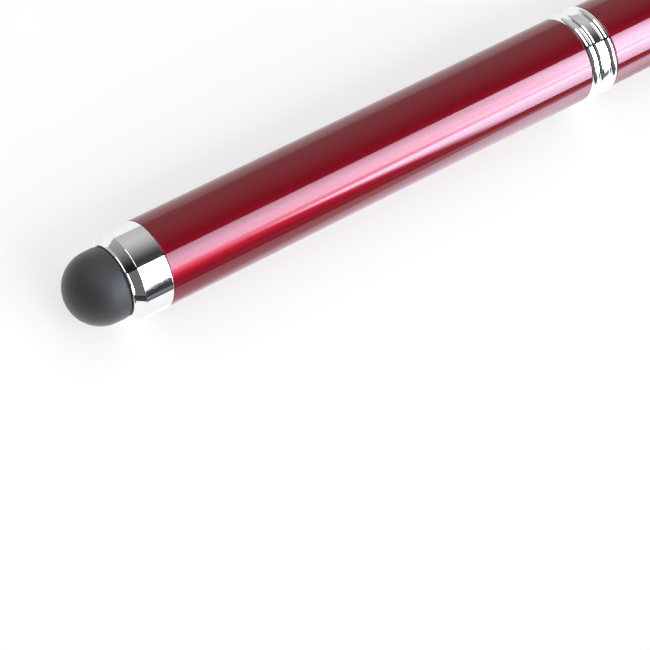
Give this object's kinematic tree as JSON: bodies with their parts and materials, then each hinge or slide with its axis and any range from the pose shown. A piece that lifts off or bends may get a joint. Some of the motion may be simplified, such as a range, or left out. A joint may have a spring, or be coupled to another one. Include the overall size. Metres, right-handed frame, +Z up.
{
  "type": "stylus pen",
  "caption": "Slim capped ballpoint pen with a soft rubber touch tip on the barrel's end, a polished centre ring and a sprung pocket clip on the pull-off cap.",
  "frame": {"origin": "on the pen's axis, halfway along the lacquered barrel tube", "axes": "+X along the pen from the touch tip to the cap's finial, +Z up with the pen lying on its centre ring and the corner of its clip, which is on the -Y side"},
  "size_m": [0.132, 0.0116, 0.01],
  "materials": {
    "red_lacquer": "metallic red lacquer under gloss clear coat",
    "plated_metal": "mirror polish",
    "touch_rubber": "fine matte",
    "seal_rubber": "satin",
    "brass": "turned",
    "steel": "drawn wire, ground",
    "black_plastic": "satin moulded",
    "white_plastic": "moulded",
    "ink": "wet",
    "grease": "wet"
  },
  "bodies": {
    "barrel": {"barrel": "red_lacquer", "stylus_dome": "touch_rubber", "stylus_post": "black_plastic", "stylus_ferrule": "plated_metal", "barrel_bush": "brass", "centre_ring": "plated_metal", "spring_seat": "black_plastic", "refill_spring": "steel"},
    "section": {"grip_section": "black_plastic", "grip_ring": "seal_rubber", "refill_guide": "white_plastic", "nose_cone": "plated_metal", "refill_tube": "brass", "ink_column": "ink", "grease_plug": "grease", "refill_tip": "steel"},
    "ball": {"writing_ball": "steel"},
    "cap": {"cap_tube": "red_lacquer", "cap_liner": "white_plastic", "cap_plug": "brass", "clip_ring": "plated_metal", "finial": "plated_metal", "finial_stud": "brass"},
    "clip": {"clip_arm": "plated_metal"}
  },
  "joints": [
    {"name": "section_unscrew", "type": "slide", "parent": "barrel", "child": "section", "axis": [1, 0, 0], "range_m": [0, 0.03]},
    {"name": "cap_pull", "type": "slide", "parent": "section", "child": "cap", "axis": [1, 0, 0], "range_m": [0, 0.046]},
    {"name": "clip_flex", "type": "hinge", "parent": "cap", "child": "clip", "pos_m": [0.0903, -0.00419, -0.00259], "axis": [0, -0.5255, 0.8508], "range_deg": [0, 5], "stiffness_Nm_per_rad": 2.7},
    {"name": "ball_roll", "type": "hinge", "parent": "section", "child": "ball", "pos_m": [0.07217, 0, 0], "axis": [0, 1, 0], "continuous": true}
  ]
}
